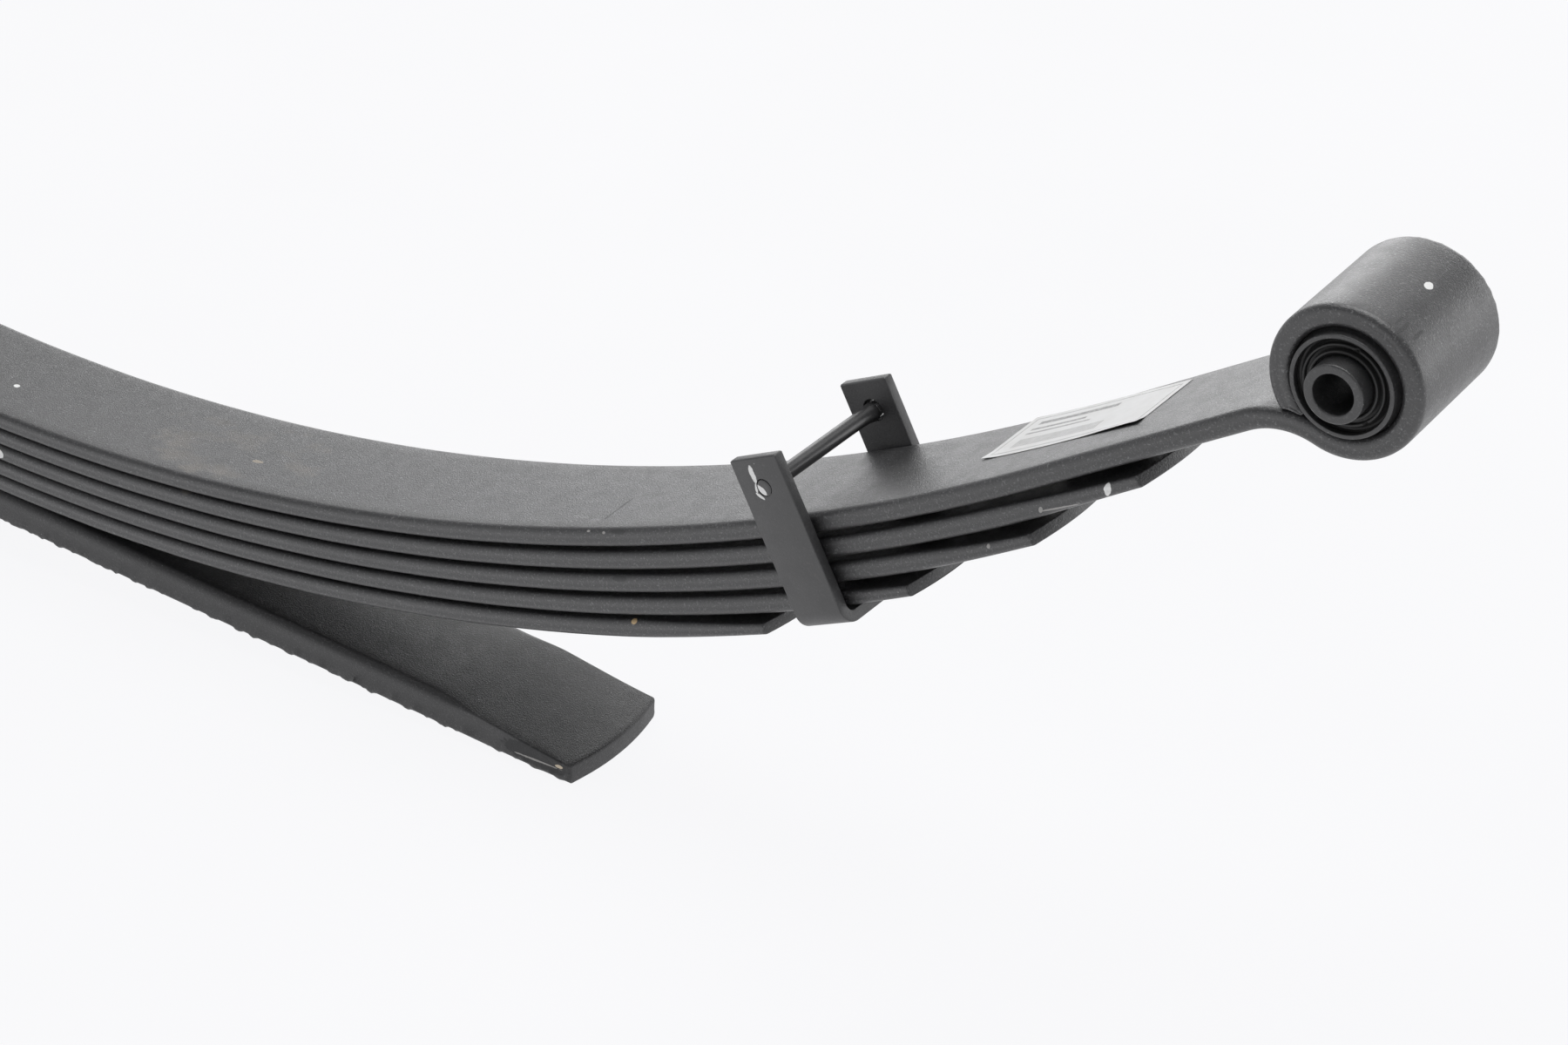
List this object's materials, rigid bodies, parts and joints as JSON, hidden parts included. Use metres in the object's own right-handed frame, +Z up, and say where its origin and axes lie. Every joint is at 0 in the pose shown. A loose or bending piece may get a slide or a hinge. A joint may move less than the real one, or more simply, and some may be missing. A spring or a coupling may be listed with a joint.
{
  "type": "leaf spring",
  "caption": "Semi-elliptic leaf spring pack with upturned bushed eyes, rebound clips and a thick flat overload leaf, held by a center bolt.",
  "frame": {"origin": "middle of the spring seat: the main leaf's top face, on the center bolt's axis", "axes": "+X along the spring to its front eye, +Y across it, +Z up towards the eyes"},
  "size_m": [1.5154, 0.081, 0.3789],
  "materials": {
    "spring_paint": "satin",
    "clip_paint": "satin",
    "bolt_steel": "satin",
    "bushing_steel": "satin",
    "bushing_rubber": "matt",
    "pad_plastic": "matt",
    "label_paper": "matt"
  },
  "bodies": {
    "leaf_pack": {"main_leaf": "spring_paint", "leaf_2": "spring_paint", "leaf_3": "spring_paint", "leaf_4": "spring_paint", "leaf_5": "spring_paint", "overload_leaf": "spring_paint", "center_bolt": "bolt_steel", "center_bolt_nut": "bolt_steel", "bushing_shell_front": "bushing_steel", "bushing_shell_rear": "bushing_steel", "bushing_rubber_front": "bushing_rubber", "bushing_rubber_rear": "bushing_rubber", "clip_strap_front": "clip_paint", "clip_strap_rear": "clip_paint", "clip_cross_pin_front": "clip_paint", "clip_cross_pin_rear": "clip_paint", "clip_rivet_front": "clip_paint", "clip_rivet_rear": "clip_paint", "tip_pad_leaf_2_front": "pad_plastic", "tip_pad_leaf_2_rear": "pad_plastic", "tip_pad_leaf_3_front": "pad_plastic", "tip_pad_leaf_3_rear": "pad_plastic", "tip_pad_leaf_4_front": "pad_plastic", "tip_pad_leaf_4_rear": "pad_plastic", "tip_pad_leaf_5_front": "pad_plastic", "tip_pad_leaf_5_rear": "pad_plastic", "paper_label": "label_paper"},
    "sleeve_front": {"bushing_sleeve_front": "bushing_steel"},
    "sleeve_rear": {"bushing_sleeve_rear": "bushing_steel"}
  },
  "joints": [
    {"name": "front_sleeve_twist", "type": "hinge", "parent": "leaf_pack", "child": "sleeve_front", "pos_m": [0.72801, 0, 0.26723], "axis": [0, 1, 0], "range_deg": [-25, 25], "stiffness_Nm_per_rad": 0.5},
    {"name": "rear_sleeve_twist", "type": "hinge", "parent": "leaf_pack", "child": "sleeve_rear", "pos_m": [-0.72801, 0, 0.26723], "axis": [0, 1, 0], "range_deg": [-25, 25], "stiffness_Nm_per_rad": 0.5}
  ]
}
